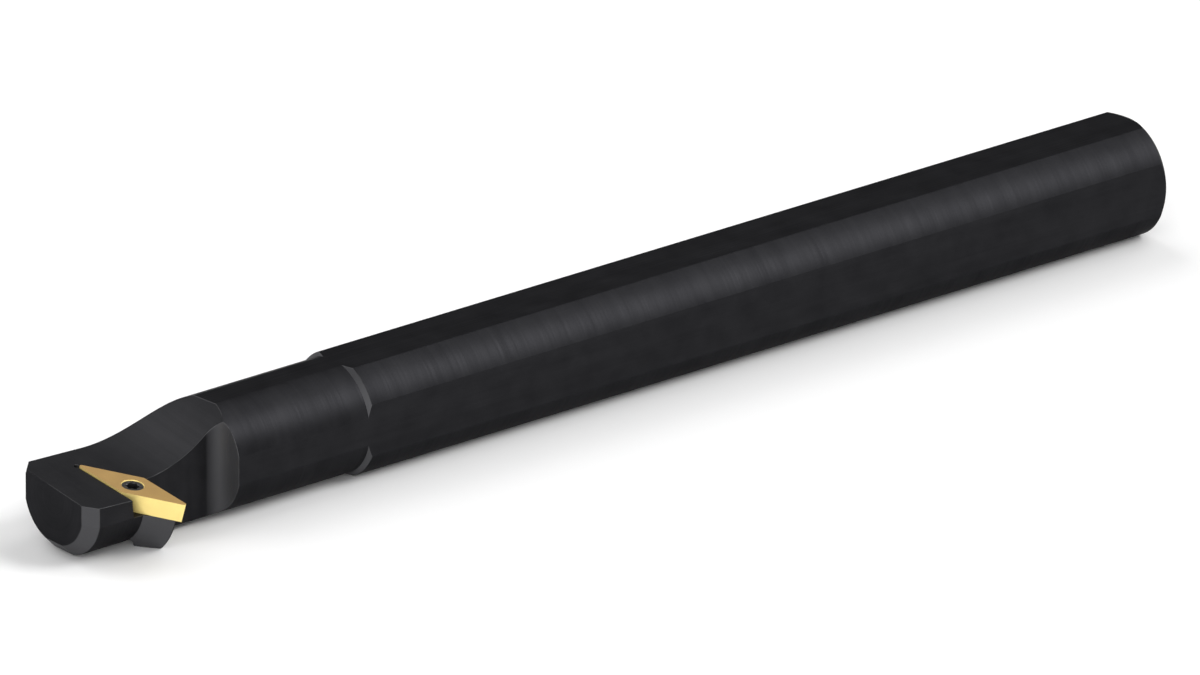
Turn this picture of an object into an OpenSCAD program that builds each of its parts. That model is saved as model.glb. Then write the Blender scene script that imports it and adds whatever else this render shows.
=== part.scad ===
// Boring bar for cutting backwards inside a bore: a steel bar with flats, and a screwed-on
// diamond insert whose cutting corner points to the side and back towards the tail.
// Millimetres. The bar lies along X with the tail face at X = 0. Y is the cutting side, Z is up,
// and the cutting corner stands at centre height, Z = 0.

/* [Shank] */
// Diameter of the shank
shank_d = 20; // [19:0.5:22]
// Distance between opposite flats
flats_w = 18; // [17.4:0.1:18.2]
// Length of the shank, from the tail face to the foot of the shoulder
shank_l = 160.3; // [60:0.1:175]
// Chamfer round the tail face
tail_chamfer = 1; // [0.5:0.1:2]

/* [Neck and head] */
// Length of the whole bar
overall_l = 215; // [213:0.5:225]
// Diameter of the neck and head
neck_d = 18.6; // [18.4:0.1:18.8]
// Chamfer round the end of the head
head_chamfer = 2; // [0.5:0.1:3]

/* [Cutting corner] */
// Distance from the tail face to the cutting corner
tool_l = 200; // [199.8:0.1:200.2]
// Distance from the bar's axis to the outside of the cutting corner
reach = 14.2; // [14:0.1:14.4]
// Angle by which the back cutting edge leans past square
lead = 3; // [1:0.5:5]
// Angle by which the insert tips down towards its cutting corner
tilt = 7.4; // [5:0.1:9]

/* [Insert] */
// Diameter of the circle that fits inside the insert's face
insert_ic = 6.35; // [6:0.05:6.5]
// Thickness of the insert
insert_t = 3.18; // [2.8:0.01:3.18]
// Angle between the two edges that meet at a cutting corner
point_angle = 35; // [34:1:36]
// Angle by which the insert's sides draw in below its face
relief = 7; // [5:0.5:7]
// Radius of the corners
corner_r = 0.4; // [0.4:0.1:0.8]
// Diameter of the screw hole
hole_d = 2.9; // [2.7:0.1:3]
// Width of the countersink at the insert's face
sink_d = 4; // [3.8:0.1:4.4]
// Height of the insert's face above the floor of the chip space
proud = 0.3; // [0.1:0.05:0.5]

/* [Insert screw] */
// Diameter of the thread
thread_d = 2.5; // [2.2:0.1:2.6]
// Pitch of the thread
thread_pitch = 0.45; // [0.35:0.05:0.5]
// Diameter of the countersunk head
screw_head_d = 3.5; // [3.2:0.1:3.6]
// Angle of the countersink, side to side
sink_angle = 60; // [55:1:65]
// Length of the screw
screw_l = 6.4; // [5.5:0.1:7]
// Width of the six-lobe socket over its lobes
socket_d = 2.3; // [2:0.1:2.4]
// Depth of the socket
socket_depth = 1; // [0.6:0.1:1.2]

/* [Chip space] */
// Radius of the sweep that rises from the floor of the chip space to the top flat
sweep_r = 21.6; // [18:0.1:24]
// Distance from the middle of the insert back to the start of the sweep
sweep_start = 0.9; // [0:0.1:2]
// Position along the bar of the end wall of the side recess
recess_x = 185.8; // [180:0.1:190]
// Distance from the bar's axis to the long wall of the side recess
recess_y = 4.3; // [4.2:0.1:4.6]
// Radius of the upright fillet between the two walls
recess_r = 3; // [1:0.1:4]
// Radius of the round pocket that clears the insert's far corner
clear_r = 1.1; // [0.9:0.05:1.3]

/* [Lug under the insert] */
// Position along the bar of the lug's back face
lug_x = 200.35; // [200.2:0.05:200.5]
// Radius of the lug about the bar's axis
lug_r = 12.35; // [11.5:0.05:12.6]
// Width of the lug's narrow outer land
lug_land = 0.2; // [0.1:0.05:0.5]
// Angle between the lug's cone and the bar's axis
lug_angle = 37.5; // [35:0.5:50]

/* [Hidden] */
$fn = 96;

black_steel = [0.15, 0.15, 0.16];
gold_coat = [0.76, 0.62, 0.38];
dark_screw = [0.22, 0.22, 0.23];

shank_r = shank_d / 2;
neck_r = neck_d / 2;
shoulder_x = shank_l - (shank_r - neck_r);
cone_l = (lug_r - neck_r) / tan(lug_angle);

// Clear of the bar on every side, for the cutters
over = shank_d;

// The insert's face, measured along its two diagonals from its middle
half_point = point_angle / 2;
far_centre = (insert_ic / 2 - corner_r) / sin(half_point);
near_centre = (insert_ic / 2 - corner_r) / cos(half_point);
sharp_point = insert_ic / 2 / sin(half_point);
corner_foot_r = max(corner_r - insert_t * tan(relief), 0.005);

// The long diagonal leans back by this much from square to the bar
swing = half_point + lead;
corner_x = tool_l + corner_r;
corner_y = reach - corner_r;

// The screw's head sinks until its edge meets the countersink
sink_slope = tan(sink_angle / 2);
head_sink = (sink_d - screw_head_d) / 2 / sink_slope;
head_h = (screw_head_d - thread_d) / 2 / sink_slope;
thread_root_r = thread_d / 2 - 0.61 * thread_pitch;
thread_top = head_h + thread_pitch;
turns = floor((screw_l - thread_top - thread_pitch) / thread_pitch);
tap_clear = 0.02;

// The six-lobe socket: hollows between the lobes of a round hole
lobes = 6;
hollow_r = socket_d * 0.22;
hollow_place = socket_d * 0.59;

// Puts its children on the insert's face: origin at the middle, X along the long diagonal to the
// cutting corner, Z straight out of the face.
module on_face() {
    translate([corner_x, corner_y, 0])
        rotate([0, 0, 90 + swing])
            rotate([0, tilt, 0])
                translate([-far_centre, 0, 0])
                    children();
}

// Turns a profile of [radius, position along the bar] about the bar's axis.
module turned(profile) {
    rotate([0, 90, 0])
        rotate_extrude()
            polygon(profile);
}

// The bar as it leaves the lathe: chamfered tail, shank, shoulder, neck and chamfered head.
module blank() {
    turned([
        [0, 0],
        [shank_r - tail_chamfer, 0],
        [shank_r, tail_chamfer],
        [shank_r, shoulder_x],
        [neck_r, shank_l],
        [neck_r, overall_l - head_chamfer],
        [neck_r - head_chamfer, overall_l],
        [0, overall_l]
    ]);
}

// Four flats milled along the whole bar, the same distance from the axis on shank and neck. At the
// head's end each one turns down into the chamfer.
module flats() {
    flat_z = flats_w / 2;
    for (turn = [0:90:270])
        rotate([turn, 0, 0])
            rotate([90, 0, 0])
                linear_extrude(height = 2 * over, center = true)
                    polygon([
                        [-over, flat_z],
                        [overall_l - head_chamfer, flat_z],
                        [overall_l + over, flat_z - head_chamfer - over],
                        [overall_l + over, flat_z + over],
                        [-over, flat_z + over]
                    ]);
}

// The lug that carries the insert past the side of the head: part of a turned collar, with a cone
// in front, kept only outside the recess wall and above the level of the neck's underside.
module lug() {
    intersection() {
        turned([
            [0, lug_x],
            [lug_r, lug_x],
            [lug_r, lug_x + lug_land],
            [neck_r, lug_x + lug_land + cone_l],
            [0, lug_x + lug_land + cone_l]
        ]);
        translate([lug_x - over, recess_y, -neck_r])
            cube([2 * over, 2 * over, 2 * neck_r]);
    }
}

// The chip space over the head: a flat floor just below the insert's face, and a sweep that
// carries it up to the top flat. It is cut straight across the bar and tips with the insert.
module chip_space() {
    on_face()
        rotate([0, 0, -swing])
            rotate([90, 0, 90])
                linear_extrude(height = 4 * over, center = true) {
                    translate([sweep_start, sweep_r - proud])
                        circle(sweep_r);
                    translate([-2 * over, -proud])
                        square([2 * over + sweep_start, 2 * sweep_r]);
                }
}

// The upright recess behind the insert, with a filleted corner where its two walls meet.
module side_recess() {
    recess_l = lug_x - recess_x;
    translate([recess_x, recess_y, -over])
        linear_extrude(height = 2 * over) {
            translate([recess_r, 0])
                square([recess_l - recess_r, over]);
            translate([0, recess_r])
                square([recess_l, over]);
            translate([recess_r, recess_r])
                circle(recess_r);
        }
}

// Everything inside one wall of the pocket: the wall follows an edge of the insert from its far
// corner and leans in below the face as the insert's own side does.
module inside_wall(side) {
    translate([-sharp_point, 0, 0])
        rotate([0, 0, side * half_point])
            rotate([-side * relief, 0, 0])
                translate([-over, side > 0 ? -2 * over : 0, -over])
                    cube([4 * over, 2 * over, 2 * over]);
}

// The pocket: a floor for the insert to lie on and two walls that it is pulled against. The far
// corner is cleared by a round hole, so that only the straight sides bear on the walls.
module pocket() {
    on_face() {
        intersection() {
            inside_wall(1);
            inside_wall(-1);
            translate([-over, -over, -insert_t])
                cube([3 * over, 2 * over, over]);
        }
        translate([-far_centre - corner_r, 0, -insert_t])
            cylinder(r = clear_r, h = over);
    }
}

// The tapped hole for the insert screw, square to the floor of the pocket and right through.
module tapped_hole() {
    on_face()
        translate([0, 0, -over])
            cylinder(d = thread_d + 2 * tap_clear, h = over);
}

module bar() {
    color(black_steel)
        difference() {
            union() {
                difference() {
                    blank();
                    flats();
                }
                lug();
            }
            chip_space();
            side_recess();
            pocket();
            tapped_hole();
        }
}

// A corner of the insert, widest at the face.
module corner() {
    translate([0, 0, -insert_t])
        cylinder(r1 = corner_foot_r, r2 = corner_r, h = insert_t, $fn = 48);
}

module insert() {
    color(gold_coat)
        on_face()
            difference() {
                hull()
                    for (side = [-1, 1]) {
                        translate([side * far_centre, 0, 0])
                            corner();
                        translate([0, side * near_centre, 0])
                            corner();
                    }
                translate([0, 0, -2 * insert_t])
                    cylinder(d = hole_d, h = 3 * insert_t);
                // The countersink, carried past the face at the same slope
                translate([0, 0, -sink_d / 2 / sink_slope])
                    cylinder(r1 = 0, r2 = sink_d, h = sink_d / sink_slope);
            }
}

// Half of the screw's outline, from the middle of its head down to the middle of its tip. The
// thread is drawn as a row of equal rings.
screw_outline = concat(
    [[0, 0], [screw_head_d / 2, 0], [thread_d / 2, -head_h]],
    [[thread_root_r, -thread_top]],
    [for (turn = [0:turns - 1], half = [1, 2])
        [half == 1 ? thread_d / 2 : thread_root_r, -thread_top - (turn + half / 2) * thread_pitch]],
    [[thread_root_r, -screw_l], [0, -screw_l]]
);

module insert_screw() {
    color(dark_screw)
        on_face()
            translate([0, 0, -head_sink])
                difference() {
                    rotate_extrude()
                        polygon(screw_outline);
                    translate([0, 0, -socket_depth])
                        linear_extrude(height = 2 * socket_depth)
                            difference() {
                                circle(d = socket_d);
                                for (lobe = [0:lobes - 1])
                                    rotate(lobe * 360 / lobes)
                                        translate([hollow_place, 0])
                                            circle(hollow_r);
                            }
                }
}

bar();
insert();
insert_screw();
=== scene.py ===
"""Boring bar for cutting backwards inside a bore: a black steel bar, a gold diamond insert and the
screw that holds it. Every shape is made in millimetres and brought to metres at its end."""

import math

import bmesh
import bpy
from mathutils import Matrix, Vector


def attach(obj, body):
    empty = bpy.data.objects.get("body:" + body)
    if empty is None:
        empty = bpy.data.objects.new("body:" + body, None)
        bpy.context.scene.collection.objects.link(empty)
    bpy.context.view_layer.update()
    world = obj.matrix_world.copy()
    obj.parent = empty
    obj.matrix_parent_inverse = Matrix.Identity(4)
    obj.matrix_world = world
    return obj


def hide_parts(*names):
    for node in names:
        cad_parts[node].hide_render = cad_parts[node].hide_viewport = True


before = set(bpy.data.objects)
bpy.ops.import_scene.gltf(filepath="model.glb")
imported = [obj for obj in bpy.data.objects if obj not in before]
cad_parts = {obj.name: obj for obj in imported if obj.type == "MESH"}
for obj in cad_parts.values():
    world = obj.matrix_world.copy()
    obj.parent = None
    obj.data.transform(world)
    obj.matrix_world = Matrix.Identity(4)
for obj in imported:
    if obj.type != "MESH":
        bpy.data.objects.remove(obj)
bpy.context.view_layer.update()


# The bar's blank
# One piece of alloy steel, turned with a neck and milled flat on four sides. The tail face, the
# shoulder and the head's end are turned too, and the flats run out into their cones.

SHANK_R, NECK_R, FLAT = 10.0, 9.3, 9.0
SHOULDER_X, NECK_X, END_X = 159.6, 160.3, 215.0
TAIL_CHAMFER, HEAD_CHAMFER = 1.0, 2.0

# Where the rings of points lie along the tail chamfer and the shoulder. There are several, because
# the edges of the flats are curved there.
TAIL_RINGS = (0, 0.2, 0.35, 0.5, 0.65, 0.8, TAIL_CHAMFER)
SHOULDER_RINGS = (0, 0.175, 0.35, 0.525, NECK_X - SHOULDER_X)
ARC_STEPS = 28

# How a tool left a surface: the direction that its marks follow each other in, and how far they
# also follow the distance from the bar's axis.
TURNED_LAY = ((1, 0, 0), 0.6)
FLAT_LAY = ((0, 1, 1), 0)

# Points closer than this are one point, and faces that look this squarely away from the axis are
# the milled flats.
WELD_DISTANCE, SQUARE = 1e-5, 0.9999


def store(mesh, name, values, domain="FACE"):
    """Stores a number for each face or each point of a mesh."""
    mesh.attributes.new(name, "FLOAT", domain).data.foreach_set("value", values)


def solid(name, points, faces, lay):
    """A closed object from points and faces, turned outwards, that remembers its tool's marks."""
    mesh = bpy.data.meshes.new(name)
    mesh.from_pydata(points, [], faces)
    shape = bmesh.new()
    shape.from_mesh(mesh)
    bmesh.ops.remove_doubles(shape, verts=shape.verts, dist=WELD_DISTANCE)
    bmesh.ops.dissolve_degenerate(shape, edges=shape.edges, dist=WELD_DISTANCE)
    bmesh.ops.recalc_face_normals(shape, faces=shape.faces)
    shape.to_mesh(mesh)
    shape.free()
    made = bpy.data.objects.new(name, mesh)
    bpy.context.scene.collection.objects.link(made)
    direction, round_share = lay
    count = len(mesh.polygons)
    mesh.attributes.new("lay", "FLOAT_VECTOR", "FACE").data.foreach_set("vector", direction * count)
    store(mesh, "turned", [round_share] * count)
    return made


def lofted(name, rings, lay, closed=False):
    """A solid through rings of equally many points, with flat ends or joined end to end."""
    count = len(rings[0])
    points = [point for ring in rings for point in ring]
    faces = [] if closed else [list(range(count)), list(range(len(points) - count, len(points)))]
    for low in range(0, len(points) if closed else len(points) - count, count):
        high = (low + count) % len(points)
        for step in range(count):
            after = (step + 1) % count
            faces.append([low + step, low + after, high + after, high + step])
    return solid(name, points, faces, lay)


def flatted_ring(x, radius, flat):
    """The bar's outline at one place: a circle with its four sides cut off flat."""
    corner = math.acos(min(flat / radius, 1))
    turns = [
        side * math.pi / 2 + corner + (math.pi / 2 - 2 * corner) * step / ARC_STEPS
        for side in range(4)
        for step in range(ARC_STEPS + 1)
    ]
    return [(x, radius * math.cos(turn), radius * math.sin(turn)) for turn in turns]


blank_rings = [
    flatted_ring(grown, SHANK_R - TAIL_CHAMFER + grown, FLAT) for grown in TAIL_RINGS
] + [
    flatted_ring(SHOULDER_X + shrunk, SHANK_R - shrunk, FLAT) for shrunk in SHOULDER_RINGS
] + [
    flatted_ring(END_X - HEAD_CHAMFER + shrunk, NECK_R - shrunk, FLAT - shrunk)
    for shrunk in (0, HEAD_CHAMFER)
]
bar = lofted("bar_black_steel", blank_rings, TURNED_LAY)
for face in bar.data.polygons:
    if max(abs(face.normal.y), abs(face.normal.z)) > SQUARE:
        bar.data.attributes["lay"].data[face.index].vector = FLAT_LAY[0]
        bar.data.attributes["turned"].data[face.index].value = FLAT_LAY[1]


# The lug and the head
# The lug is part of a turned collar with a cone in front, kept outside the recess wall. The head
# is milled to a floor with a sweep behind it, and recessed on the cutting side.

LUG_X, LUG_R, LUG_LAND, LUG_ANGLE, LUG_INNER_R = 200.35, 12.35, 0.2, math.radians(37.5), 7.0
RECESS_X, RECESS_Y, RECESS_R = 185.8, 4.3, 3.0
SWEEP_R, SWEEP_START, PROUD = 21.6, 0.9, 0.3
COLLAR_STEPS, SWEEP_STEPS, FILLET_STEPS = 180, 60, 30
MILLED_LAY = ((1, 0, 0), 0)
SIDE_MILLED_LAY = ((1, 1, 0), 0)

# How far the cutters reach, which is past the bar on every side.
CLEAR = 40.0

# The insert's face, seen from the bar: tipped towards the cutting corner and leaning back. Its
# origin is the middle of the face, X runs along the long diagonal, and Z comes out of the face.
CORNER = Vector((200.4, 13.8, 0))
SWING, TILT = math.radians(20.5), math.radians(7.4)
HALF_POINT, RELIEF = math.radians(17.5), math.radians(7)
INSERT_R, INSERT_T, CORNER_R = 3.175, 3.18, 0.4
FAR_CENTRE = (INSERT_R - CORNER_R) / math.sin(HALF_POINT)
SHARP_POINT = INSERT_R / math.sin(HALF_POINT)
FACE = (
    Matrix.Translation(CORNER)
    @ Matrix.Rotation(math.radians(90) + SWING, 4, "Z")
    @ Matrix.Rotation(TILT, 4, "Y")
    @ Matrix.Translation((-FAR_CENTRE, 0, 0))
)


def circle(radius, steps, start=0.0, end=math.tau):
    """Points of a circle, or of an arc from start to end, which then has both its ends."""
    count = steps if end - start == math.tau else steps + 1
    turns = [start + (end - start) * step / steps for step in range(count)]
    return [(radius * math.cos(turn), radius * math.sin(turn)) for turn in turns]


def placed(made, matrix):
    """Moves a solid's own points, so that its object stays at the origin."""
    made.data.transform(matrix)
    return made


def apply_modifiers(made):
    """Gives an object the plain mesh that its modifiers make, and takes them off."""
    graph = bpy.context.evaluated_depsgraph_get()
    made.data = bpy.data.meshes.new_from_object(made.evaluated_get(graph))
    made.modifiers.clear()


def combine(target, tool, operation):
    """Adds, cuts or keeps the common part of two solids, and uses the tool up."""
    step = target.modifiers.new("step", "BOOLEAN")
    step.object, step.operation, step.solver = tool, operation, "EXACT"
    apply_modifiers(target)
    bpy.data.objects.remove(tool)


collar = lofted("collar", [
    [(x, y, z) for y, z in circle(radius, COLLAR_STEPS)]
    for x, radius in (
        (LUG_X, LUG_R),
        (LUG_X + LUG_LAND, LUG_R),
        (LUG_X + LUG_LAND + (LUG_R - LUG_INNER_R) / math.tan(LUG_ANGLE), LUG_INNER_R),
    )
], TURNED_LAY)
outside_wall = lofted("outside_wall", [
    [(x, RECESS_Y, -NECK_R), (x, CLEAR, -NECK_R), (x, CLEAR, NECK_R), (x, RECESS_Y, NECK_R)]
    for x in (LUG_X - CLEAR, LUG_X + CLEAR)
], MILLED_LAY)
combine(collar, outside_wall, "INTERSECT")
combine(bar, collar, "UNION")

sweep_arc = circle(SWEEP_R, SWEEP_STEPS, -math.pi / 2, 0)
sweep = [(-CLEAR, 2 * SWEEP_R), (-CLEAR, -PROUD)]
sweep += [(SWEEP_START + y, SWEEP_R - PROUD + z) for y, z in sweep_arc]
sweep += [(SWEEP_START + SWEEP_R, 2 * SWEEP_R)]
chip_space = lofted("chip_space", [
    [(x, y, z) for y, z in sweep] for x in (-CLEAR, CLEAR)
], MILLED_LAY)
combine(bar, placed(chip_space, FACE @ Matrix.Rotation(-SWING, 4, "Z")), "DIFFERENCE")

recess_arc = circle(RECESS_R, FILLET_STEPS, math.pi, 1.5 * math.pi)
recess = [(LUG_X, CLEAR), (RECESS_X, CLEAR)]
recess += [(RECESS_X + RECESS_R + x, RECESS_Y + RECESS_R + y) for x, y in recess_arc]
recess += [(LUG_X, RECESS_Y)]
side_recess = lofted("side_recess", [
    [(x, y, z) for x, y in recess] for z in (-CLEAR, CLEAR)
], SIDE_MILLED_LAY)
combine(bar, side_recess, "DIFFERENCE")


# The insert's seat
# A pocket with two walls that the insert is pulled against, a round hole that clears its far
# corner, and a hole for the screw's thread, square to the floor and right through the head.

CLEAR_R, CLEAR_PLACE = 0.5, 0.47
THREAD_R, THREAD_ROOT_R, THREAD_PITCH, TAP_CLEARANCE = 1.25, 0.9755, 0.45, 0.02
CLEAR_STEPS, TAP_STEPS = 32, 48

seat_rings = []
for height in (-INSERT_T, CLEAR / 2):
    apex = -SHARP_POINT - height * math.tan(RELIEF) / math.sin(HALF_POINT)
    half_width = (CLEAR - apex) * math.tan(HALF_POINT)
    seat_rings.append([
        (apex, 0, height),
        (CLEAR, -half_width, height),
        (CLEAR, half_width, height),
    ])
combine(bar, placed(lofted("seat", seat_rings, MILLED_LAY), FACE), "DIFFERENCE")

corner_hole = lofted("corner_hole", [
    [(x - FAR_CENTRE - CORNER_R - CLEAR_PLACE, y, z) for x, y in circle(CLEAR_R, CLEAR_STEPS)]
    for z in (-INSERT_T, CLEAR / 2)
], SIDE_MILLED_LAY)
combine(bar, placed(corner_hole, FACE), "DIFFERENCE")
tapped_hole = lofted("tapped_hole", [
    [(x, y, z) for x, y in circle(THREAD_R + TAP_CLEARANCE, TAP_STEPS)] for z in (-CLEAR / 2, 0)
], TURNED_LAY)
combine(bar, placed(tapped_hole, FACE), "DIFFERENCE")


# The bar's edges
# Deburred by hand: each edge that stands out has a narrow rounded face, where the black oxide
# soon wears thin. Edges that lie inside a corner stay as the cutter left them.

# How wide a broken edge is, the share of that on the lug's narrow land, and the faces across it.
# Shorter edges than SHORT_EDGE go first, because a rounded face would fold over on them.
EDGE_BREAK, LAND_BREAK_SHARE, BREAK_SEGMENTS = 0.06, 0.4, 2
SHORT_EDGE = 0.045
SHARP_ANGLE, BROKEN_ANGLE = math.radians(9), math.radians(32)
MM = 0.001

# Stand-in materials for the faces of the bar and for those that break its edges, so that the new
# faces can be told apart afterwards.
for name in ("bar", "worn"):
    bar.data.materials.append(bpy.data.materials.new(name))
shape = bmesh.new()
shape.from_mesh(bar.data)
short_edges = [edge for edge in shape.edges if edge.calc_length() < SHORT_EDGE]
bmesh.ops.collapse(shape, edges=short_edges, uvs=False)
weight = shape.edges.layers.float.new("bevel_weight_edge")
for edge in shape.edges:
    turn = edge.calc_face_angle_signed(0)
    edge.smooth = abs(turn) < SHARP_ANGLE
    on_land = all(end.co.yz.length > LUG_R - SHORT_EDGE for end in edge.verts)
    if turn > BROKEN_ANGLE:
        edge[weight] = LAND_BREAK_SHARE if on_land else 1.0
for face in shape.faces:
    face.smooth = True
shape.to_mesh(bar.data)
shape.free()

broken = bar.modifiers.new("broken_edges", "BEVEL")
broken.limit_method, broken.width, broken.segments = "WEIGHT", EDGE_BREAK, BREAK_SEGMENTS
broken.material = 1
broken.use_clamp_overlap = False
bar.modifiers.new("normals", "WEIGHTED_NORMAL").keep_sharp = True
apply_modifiers(bar)

# Painted highlight: the chamfers and cones that look forward along the bar, and the parts of the
# upright fillet, end wall and holes that look forward, get a paler colour for the light that they
# catch, and a little less roughness and metalness. The milled head gets a small even share of the
# same paler colour. A face is told by its lay and by how far it looks forward along the bar.
MILLED_PALE_SHARE, FILLET_HIGHLIGHT_GAIN = 0.22, 1.4
CONE_FORWARD, FILLET_FORWARD = (0.55, 0.8), 0.1
turned = [entry.value for entry in bar.data.attributes["turned"].data]
lays = [tuple(entry.vector) for entry in bar.data.attributes["lay"].data]
worn, pale_and_painted_highlight = [], []
for face, share, lay in zip(bar.data.polygons, turned, lays):
    forward = face.normal.x
    cone = share > 0 and CONE_FORWARD[0] < forward < CONE_FORWARD[1]
    fillet = lay == SIDE_MILLED_LAY[0] and forward > FILLET_FORWARD
    milled = (lay, share) == MILLED_LAY
    amount = min(forward * FILLET_HIGHLIGHT_GAIN, 1) if fillet else float(cone)
    pale_and_painted_highlight.append(max(amount, MILLED_PALE_SHARE * milled))
    worn.append(float(face.material_index))
    face.material_index = 0
store(bar.data, "worn", worn)
store(bar.data, "pale_and_painted_highlight", pale_and_painted_highlight)
bar.data.materials.clear()

# The rounded faces may stand a hair past the flats that they lie beside.
for vertex in bar.data.vertices:
    vertex.co.y, vertex.co.z = max(vertex.co.y, -FLAT), min(vertex.co.z, FLAT)
placed(bar, Matrix.Scale(MM, 4))

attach(bar, "root")
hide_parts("bar")


# The black oxide finish
# A thin satin skin on the machined steel: nearly black, slightly blue, a little cloudy, with the
# tool's fine marks showing through and a trace of bare steel along the broken edges.


class Wire:
    """A socket in a node tree. Arithmetic between wires and numbers adds Math nodes."""

    def __init__(self, tree, socket):
        self.tree, self.socket = tree, socket

    def node(self, kind, settings=None, inputs=None, output=0):
        """Adds any node: its settings first, then a value or a wire for each input."""
        made = self.tree.nodes.new(kind)
        for name, value in (settings or {}).items():
            setattr(made, name, value)
        for name, value in (inputs or {}).items():
            if isinstance(value, Wire):
                self.tree.links.new(value.socket, made.inputs[name])
            else:
                made.inputs[name].default_value = value
        return Wire(self.tree, made.outputs[output]) if made.outputs else None

    def maths(self, operation, other=0.0):
        """A Math node on this wire, such as a cosine, or on this wire and another value."""
        return self.node("ShaderNodeMath", {"operation": operation}, {0: self, 1: other})

    def __add__(self, other):
        return self.maths("ADD", other)

    def __sub__(self, other):
        return self.maths("SUBTRACT", other)

    def __rsub__(self, other):
        return self * -1 + other

    def __mul__(self, other):
        return self.maths("MULTIPLY", other)

    def __pow__(self, other):
        return self.maths("POWER", other)

    __radd__, __rmul__ = __add__, __mul__

    def between(self, low, high):
        """0 below the low value and 1 above the high one, with a straight rise between."""
        limits = {"Value": self, "From Min": low, "From Max": high}
        return self.node("ShaderNodeMapRange", {}, limits)


def components(vector, axes):
    """A wire for each named component of a vector."""
    split = vector.node("ShaderNodeSeparateXYZ", {}, {0: vector}).socket.node
    return [Wire(vector.tree, split.outputs[axis]) for axis in axes]


def finish(name):
    """A new material, and a wire that carries the place on the piece in millimetres."""
    made = bpy.data.materials.new(name)
    made.use_nodes = True
    made.node_tree.nodes.clear()
    metres = Wire(made.node_tree, None).node("ShaderNodeTexCoord", output="Object")
    scaling = {0: metres, "Scale": 1 / MM}
    return made, metres.node("ShaderNodeVectorMath", {"operation": "SCALE"}, scaling)


def stored(place, name, output="Fac"):
    """What the mesh has stored for its faces under a name."""
    return place.node("ShaderNodeAttribute", {"attribute_name": name}, output=output)


def noise(place, scale, detail, across=None):
    """Cloudy noise, or noise that changes fast along one more measure and so makes streaks."""
    settings = {"noise_dimensions": "3D" if across is None else "4D"}
    inputs = {"Vector": place, "Scale": scale, "Detail": detail}
    if across is not None:
        # The node multiplies this by its scale too.
        inputs["W"] = across * (1 / scale)
    return place.node("ShaderNodeTexNoise", settings, inputs)


def blend(factor, first, second):
    """A colour between two others."""
    # The node has sockets for each kind of value. Those for colours are 6, 7 and output 2.
    inputs = {0: factor, 6: first, 7: second}
    return factor.node("ShaderNodeMix", {"data_type": "RGBA"}, inputs, output=2)


def surface(colour, roughness, metallic, height, constants):
    """The shader of one finish, with its fine relief, wired to the material's output."""
    relief = colour.node("ShaderNodeBump", {}, {"Height": height, "Strength": 1.0, "Distance": MM})
    varying = {"Base Color": colour, "Roughness": roughness, "Metallic": metallic, "Normal": relief}
    skin = colour.node("ShaderNodeBsdfPrincipled", {}, {**varying, **constants})
    colour.node("ShaderNodeOutputMaterial", {}, {"Surface": skin})


# How many marks of the tool there are in a millimetre: fine ones, and wide ones that only shade.
MARKS_A_MM, WIDE_MARKS_A_MM = 4, 0.6

black_oxide, place = finish("black_oxide")
y, z = components(place, "YZ")
axis_distance = (y * y + z * z) ** 0.5
pale_and_highlight = stored(place, "pale_and_painted_highlight")
lay = stored(place, "lay", "Vector")
across = place.node(
    "ShaderNodeVectorMath", {"operation": "DOT_PRODUCT"}, {0: place, 1: lay}, output="Value"
)
across = across + axis_distance * stored(place, "turned")

marks = noise(place, 0.06, 1.0, across * MARKS_A_MM)
wide_marks = noise(place, 0.05, 1.0, across * WIDE_MARKS_A_MM)
cloud = noise(place, 0.22, 4.0)
grain = noise(place, 6.0, 2.0)
wear = stored(place, "worn") * noise(place, 0.3, 1.0).between(0.3, 0.7)

tone = (cloud * 0.5 + wide_marks * 0.3 + grain * 0.2).between(0.36, 0.64)
colour = blend(tone, (0.0165, 0.0165, 0.0183, 1), (0.0245, 0.0245, 0.0268, 1))
# Painted highlight: the paler colour on forward-looking cones, chamfers, fillet and end wall stands
# in for the light that they catch. The milled head takes a small even share of it.
colour = blend(pale_and_highlight, colour, (0.061, 0.061, 0.065, 1))
colour = blend(wear * 0.35, colour, (0.165, 0.165, 0.168, 1))
surface(
    colour,
    roughness=0.35 + cloud * 0.1 + marks * 0.18 - wear * 0.08 - pale_and_highlight * 0.05,
    metallic=0.88 + wear * 0.1 - pale_and_highlight * 0.55,
    height=marks * 0.009 + grain * 0.0015 + cloud * 0.004,
    constants={"Specular IOR Level": 0.14, "Specular Tint": (0.45, 0.45, 0.45, 1)},
)
bar.data.materials.append(black_oxide)


# The insert
# Pressed and sintered carbide, ground on its faces and flanks, with a gold coloured coating. Its
# cutting edges are honed, and the hole has a countersink that the screw's head pulls against.

HOLE_R, SINK_R, SINK_SLOPE = 1.45, 1.84, math.tan(math.radians(30))
HONE, LIP, LOWER_BREAK, HOLE_BREAK = 0.035, 0.04, 0.02, 0.1
HONE_MIDDLE = HONE * 0.3
GROUND_LAY = ((1, 0, 0), 0)
POINT_STEPS, SIDE_STEPS, EDGE_PARTS = 20, 6, 16

# What the relief leaves of a corner's radius at the bottom of the insert.
FOOT_R = 0.0096

# Faces that meet at more than CREASE have a sharp edge, and those whose normal rises or falls by
# less than FLANK_RISE are flanks.
CREASE, FLANK_RISE = math.radians(50), 0.6


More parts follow.
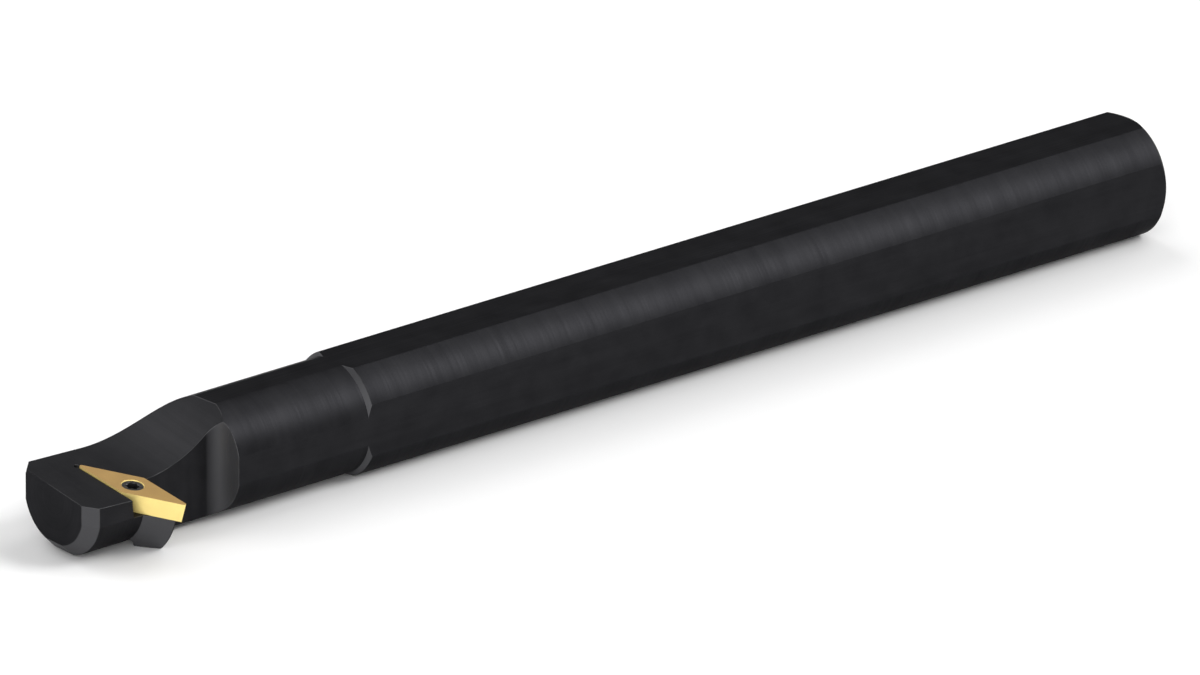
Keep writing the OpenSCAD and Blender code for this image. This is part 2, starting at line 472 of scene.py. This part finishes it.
def diamond(inner_r, corner_r, height):
    """The insert's outline with rounded corners, and points close enough along its edges."""
    far = (inner_r - corner_r) / math.sin(HALF_POINT)
    near = (inner_r - corner_r) / math.cos(HALF_POINT)
    side_turn = math.pi / 2 - HALF_POINT
    arcs = []
    for centre, facing, half_span, steps in (
        ((far, 0), 0, side_turn, POINT_STEPS),
        ((0, near), math.pi / 2, HALF_POINT, SIDE_STEPS),
        ((-far, 0), math.pi, side_turn, POINT_STEPS),
        ((0, -near), 1.5 * math.pi, HALF_POINT, SIDE_STEPS),
    ):
        arc = circle(corner_r, steps, facing - half_span, facing + half_span)
        arcs.append([(centre[0] + x, centre[1] + y) for x, y in arc])
    outline = []
    for arc, following in zip(arcs, arcs[1:] + arcs[:1]):
        outline += arc
        (x0, y0), (x1, y1) = arc[-1], following[0]
        outline += [
            (x0 + (x1 - x0) * part / EDGE_PARTS, y0 + (y1 - y0) * part / EDGE_PARTS)
            for part in range(1, EDGE_PARTS)
        ]
    return [(x, y, height) for x, y in outline]


def drawn_in(depth):
    """The outline at a depth below the face, where the flanks have drawn in."""
    inward = depth * math.tan(RELIEF)
    return diamond(INSERT_R - inward, max(CORNER_R - inward, FOOT_R), -depth)


face_edge = diamond(INSERT_R - HONE, CORNER_R - HONE, 0)
bearings = [math.atan2(y, x) for x, y, height in face_edge]


def hole_ring(radius, depth):
    """A ring in the insert's hole, with one point on the bearing of each point of the outline."""
    return [(radius * math.cos(turn), radius * math.sin(turn), -depth) for turn in bearings]


sink_depth = (SINK_R - HOLE_R) / SINK_SLOPE
insert = lofted("insert_gold_coated", [
    hole_ring(SINK_R + LIP, 0),
    face_edge,
    diamond(INSERT_R - HONE_MIDDLE, CORNER_R - HONE_MIDDLE, -HONE_MIDDLE),
    drawn_in(HONE),
    drawn_in(INSERT_T - LOWER_BREAK),
    diamond(INSERT_R - INSERT_T * math.tan(RELIEF) - LOWER_BREAK, FOOT_R, -INSERT_T),
    hole_ring(HOLE_R + HOLE_BREAK, INSERT_T),
    hole_ring(HOLE_R, INSERT_T - HOLE_BREAK),
    hole_ring(HOLE_R, sink_depth + LIP),
    hole_ring(HOLE_R + LIP * SINK_SLOPE, sink_depth - LIP),
    hole_ring(SINK_R - LIP * SINK_SLOPE, LIP),
], GROUND_LAY, closed=True)
insert.data.shade_smooth()
insert.data.set_sharp_from_angle(angle=CREASE)
insert.modifiers.new("normals", "WEIGHTED_NORMAL").keep_sharp = True
apply_modifiers(insert)
# The flanks, the hole and its countersink are marked for a painted lit copy of the gold.
flanks = [float(abs(face.normal.z) < FLANK_RISE) for face in insert.data.polygons]
store(insert.data, "painted_lit_side", flanks)
placed(insert, Matrix.Scale(MM, 4) @ FACE)

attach(insert, "root")
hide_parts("insert")

gold_coating, place = finish("gold_coating")
marks = noise(place, 3.0, 2.0)
cloud = noise(place, 0.35, 3.0)
grain = noise(place, 22.0, 2.0)
tone = (cloud * 0.6 + grain * 0.4).between(0.35, 0.65)
# Painted light: the face takes a shaded copy of the gold, and the flanks, hole and countersink a
# much paler lit copy, for the light that falls on them.
shaded_face_colour = blend(tone, (0.415, 0.257, 0.086, 1), (0.485, 0.305, 0.103, 1))
lit_flank_colour = blend(tone, (0.93, 0.72, 0.255, 1), (1.0, 0.80, 0.285, 1))
surface(
    blend(stored(place, "painted_lit_side"), shaded_face_colour, lit_flank_colour),
    roughness=0.36 + cloud * 0.1 + grain * 0.06,
    metallic=0.35 + tone * 0.1,
    height=grain * 0.0015 + marks * 0.001,
    constants={"Specular IOR Level": 0.4},
)
insert.data.materials.append(gold_coating)


# The insert screw
# Hardened steel, dark from heat treatment, with a six-lobe socket and a rolled thread that runs
# into the tapped hole. Its cone seats in the insert's countersink.

SCREW_HEAD_R, SCREW_L, HEAD_RIM, TIP_CHAMFER = 1.75, 6.4, 0.05, 0.2
HEAD_SINK = (SINK_R - SCREW_HEAD_R) / SINK_SLOPE
HEAD_H = (SCREW_HEAD_R - THREAD_R) / SINK_SLOPE

# The socket: its size, its lobes, half the share of the radius by which the wall comes in between
# them, how much of that is left at the chamfer and on the floor, and the floor's shallow cone.
SOCKET_R, SOCKET_DEPTH, SOCKET_CHAMFER = 1.15, 0.85, 0.07
LOBES, LOBE_DEPTH, FADED_LOBES = 6, 0.13, 0.8
FLOOR_SHARE, FLOOR_DEPTH, DRILL_DEPTH = 0.72, 0.04, 0.2

# The thread: its ends, the lengths over which it runs out there, and the bare core beside them.
THREAD_START, THREAD_END = -HEAD_H - 0.12, 0.3 - SCREW_L
RUN_OUT_START, RUN_OUT_END = 0.3, 0.45
CORE_START, CORE_END = 0.08, 0.05

# Crest and root are flat for two rows each. The first row of each moves up and the second one
# down, by these shares of a row, which makes the flanks between them steeper.
ROWS_A_TURN, FIRST_ROW_SHIFT, SECOND_ROW_SHIFT = 4, -0.1, 0.25
STEPS_ROUND = 48
SEAM_WELD = 0.0005
SCREW_CREASE = math.radians(35)

# The outline from the middle of the socket to the middle of the tip: for each row its radius, its
# height, how much the six lobes shape it, and whether it winds down with the thread.
outline = [
    (0, -SOCKET_DEPTH - DRILL_DEPTH, 0, 0),
    (SOCKET_R * FLOOR_SHARE, -SOCKET_DEPTH - FLOOR_DEPTH, FADED_LOBES, 0),
    (SOCKET_R, -SOCKET_DEPTH, 1, 0),
    (SOCKET_R, -SOCKET_CHAMFER, 1, 0),
    (SOCKET_R + SOCKET_CHAMFER, 0, FADED_LOBES, 0),
    (SCREW_HEAD_R - HEAD_RIM, 0, 0, 0),
    (SCREW_HEAD_R, -HEAD_RIM, 0, 0),
    (THREAD_R + HEAD_RIM * SINK_SLOPE, -HEAD_H, 0, 0),
    (THREAD_ROOT_R, -HEAD_H - CORE_START, 0, 0),
]
winding_rows = int((THREAD_START - THREAD_END) / THREAD_PITCH + 2) * ROWS_A_TURN
for step in range(-ROWS_A_TURN - 1, winding_rows):
    on_crest = step % ROWS_A_TURN in (1, 2)
    shift = SECOND_ROW_SHIFT if step % ROWS_A_TURN in (0, 2) else FIRST_ROW_SHIFT
    height = THREAD_START - THREAD_PITCH * (step + shift) / ROWS_A_TURN
    outline.append((THREAD_R if on_crest else THREAD_ROOT_R, height, 0, 1))
outline += [
    (THREAD_ROOT_R, THREAD_END - CORE_END, 0, 0),
    (THREAD_ROOT_R - TIP_CHAMFER, -SCREW_L, 0, 0),
    (0, -SCREW_L, 0, 0),
]

profile = bpy.data.meshes.new("screw_outline")
profile.from_pydata([(radius, 0, height) for radius, height, lobed, winds in outline], [], [])
for name, column in (("lobed", 2), ("winds", 3)):
    store(profile, name, [float(entry[column]) for entry in outline], "POINT")
screw = bpy.data.objects.new("insert_screw_steel", profile)
bpy.context.scene.collection.objects.link(screw)

screw_steel, place = finish("screw_steel")
cloud = noise(place, 1.5, 3.0)
grain = noise(place, 18.0, 2.0)
surface(
    blend(cloud.between(0.35, 0.65), (0.033, 0.033, 0.036, 1), (0.058, 0.058, 0.062, 1)),
    roughness=0.34 + cloud * 0.15,
    metallic=0.7 + cloud * 0.1,
    height=grain * 0.002,
    constants={"Specular IOR Level": 0.3},
)

winding = bpy.data.node_groups.new("screw_from_outline", "GeometryNodeTree")
winding.interface.new_socket("Outline", in_out="INPUT", socket_type="NodeSocketGeometry")
measures = (
    ("Rows", "NodeSocketInt", len(outline)),
    ("Steps round", "NodeSocketInt", STEPS_ROUND),
    ("Pitch", "NodeSocketFloat", THREAD_PITCH),
    ("Thread root", "NodeSocketFloat", THREAD_ROOT_R),
    ("Thread start", "NodeSocketFloat", THREAD_START),
    ("Thread end", "NodeSocketFloat", THREAD_END),
    ("Finish", "NodeSocketMaterial", screw_steel),
)
wind = screw.modifiers.new("wind", "NODES")
wind.node_group = winding
for name, kind, value in measures:
    socket = winding.interface.new_socket(name, in_out="INPUT", socket_type=kind)
    wind[socket.identifier] = value
winding.interface.new_socket("Screw", in_out="OUTPUT", socket_type="NodeSocketGeometry")
given = winding.nodes.new("NodeGroupInput")
drawn = Wire(winding, given.outputs["Outline"])
rows, steps, pitch, root, start, end, steel = [
    Wire(winding, given.outputs[name]) for name, kind, value in measures
]

# A flat grid with one column for each step round and one row for each row of the outline.
grid = rows.node(
    "GeometryNodeMeshGrid",
    {},
    {"Size X": 1.0, "Size Y": 1.0, "Vertices X": steps + 1, "Vertices Y": rows},
)
across_grid, along_grid = [
    part + 0.5 for part in components(rows.node("GeometryNodeInputPosition"), "XY")
]
turn = across_grid * math.tau
row = (along_grid * (rows - 1)).maths("ROUND")


def of_row(kind, value):
    """What the outline says about the row that a point of the grid belongs to."""
    source = {"Geometry": drawn, "Value": value, "Index": row}
    return row.node("GeometryNodeSampleIndex", {"data_type": kind, "domain": "POINT"}, source)


def number_of_row(name):
    """The number that the outline has stored for the row under a name."""
    named = row.node("GeometryNodeInputNamedAttribute", {"data_type": "FLOAT"}, {"Name": name})
    return of_row("FLOAT", named)


radius, height = components(of_row("FLOAT_VECTOR", row.node("GeometryNodeInputPosition")), "XZ")
lobed, winds = number_of_row("lobed"), number_of_row("winds")

# The thread falls by its pitch in one turn, and runs out into the core at both of its ends.
height = height - winds * pitch * across_grid
height = height + winds * (height.maths("MINIMUM", start).maths("MAXIMUM", end) - height)
run_out = (start - height).between(0, RUN_OUT_START) * (height - end).between(0, RUN_OUT_END)
radius = radius + winds * (radius - root) * (run_out - 1)
radius = radius * (1 - lobed * LOBE_DEPTH * ((turn * LOBES).maths("COSINE") + 1))

around = row.node("ShaderNodeCombineXYZ", {}, {
    "X": radius * turn.maths("COSINE"),
    "Y": radius * turn.maths("SINE"),
    "Z": height,
})
wound = row.node("GeometryNodeSetPosition", {}, {"Geometry": grid, "Position": around})
closed = row.node("GeometryNodeMergeByDistance", {}, {"Geometry": wound, "Distance": SEAM_WELD})
outward = row.node("GeometryNodeFlipFaces", {}, {"Mesh": closed})
single = row.node("GeometryNodeRealizeInstances", {}, {"Geometry": outward})
coated = row.node("GeometryNodeSetMaterial", {}, {"Geometry": single, "Material": steel})
winding.links.new(coated.socket, winding.nodes.new("NodeGroupOutput").inputs[0])

apply_modifiers(screw)
screw.data.shade_smooth()
screw.data.set_sharp_from_angle(angle=SCREW_CREASE)
placed(screw, Matrix.Scale(MM, 4) @ FACE @ Matrix.Translation((0, 0, -HEAD_SINK)))

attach(screw, "root")
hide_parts("insert_screw")


# The stage
# A plain pale floor that keeps a soft shadow, a pale surround, and soft lamps on the side of the
# camera, which stands where the photograph was taken from.

AIM = Vector((0.10830, 0.00136, -0.00004))
LENS, FRAME_WIDTH, CLIP_END = 940, 0.18683, 50
AZIMUTH, ELEVATION = math.radians(38.78), math.radians(22.32)
FLOOR_Z, FLOOR_REACH = -0.0093, 30
towards_camera = Vector((
    math.sin(AZIMUTH) * math.cos(ELEVATION),
    math.cos(AZIMUTH) * math.cos(ELEVATION),
    math.sin(ELEVATION),
))


def stand(name, data, location, facing):
    """Puts a camera or a lamp at a place, looking along a direction."""
    made = bpy.data.objects.new(name, data)
    bpy.context.scene.collection.objects.link(made)
    made.location = location
    made.rotation_mode = "QUATERNION"
    made.rotation_quaternion = facing.to_track_quat("-Z", "Y")
    return made


optics = bpy.data.cameras.new("camera")
optics.lens, optics.clip_end = LENS, CLIP_END
distance = FRAME_WIDTH * LENS / optics.sensor_width
bpy.context.scene.camera = stand("camera", optics, AIM + towards_camera * distance, -towards_camera)

# Each lamp: the way towards it, how wide it looks from the bar, and its level, where 1 lights a
# white surface that faces it to white.
for name, direction, width, level in (
    ("corner_lamp", (0.74, 0.60, 0.30), 60, 0.62),
    ("ridge_lamp", (-0.578, 0.50, 0.645), 28, 0.54),
    ("upper_lamp", (-0.578, -0.06, 0.80), 32, 0.16),
    ("back_lamp", (0.1, -0.72, 0.68), 50, 0.36),
):
    lamp = bpy.data.lights.new(name, "SUN")
    lamp.angle, lamp.energy = math.radians(width), level * math.pi
    towards_lamp = Vector(direction).normalized()
    stand(name, lamp, AIM + towards_lamp, -towards_lamp)

floor_mesh = bpy.data.meshes.new("floor")
floor_mesh.from_pydata(
    [(x * FLOOR_REACH, y * FLOOR_REACH, FLOOR_Z) for x, y in ((-1, -1), (1, -1), (1, 1), (-1, 1))],
    [],
    [(0, 1, 2, 3)],
)
floor = bpy.data.objects.new("floor", floor_mesh)
bpy.context.scene.collection.objects.link(floor)
pale_floor, place = finish("pale_floor")
matt = place.node("ShaderNodeBsdfDiffuse", {}, {"Color": (0.92, 0.92, 0.92, 1)})
place.node("ShaderNodeOutputMaterial", {}, {"Surface": matt})
floor_mesh.materials.append(pale_floor)

# The surround is white at the horizon, where the floor ends, and grey above it.
HORIZON_TOP, GREY_FROM, GREY_DROP = 0.03, 0.12, 0.69
studio = bpy.data.worlds.new("studio")
bpy.context.scene.world = studio
studio.use_nodes = True
studio.node_tree.nodes.clear()
look = Wire(studio.node_tree, None).node("ShaderNodeTexCoord", output="Generated")
[rise] = components(look, "Z")
brightness = 1 - rise.between(HORIZON_TOP, GREY_FROM) * GREY_DROP
sky = look.node("ShaderNodeBackground", {}, {"Color": (1, 1, 1, 1), "Strength": brightness})
look.node("ShaderNodeOutputWorld", {}, {"Surface": sky})

bpy.context.scene.view_settings.view_transform = "Standard"
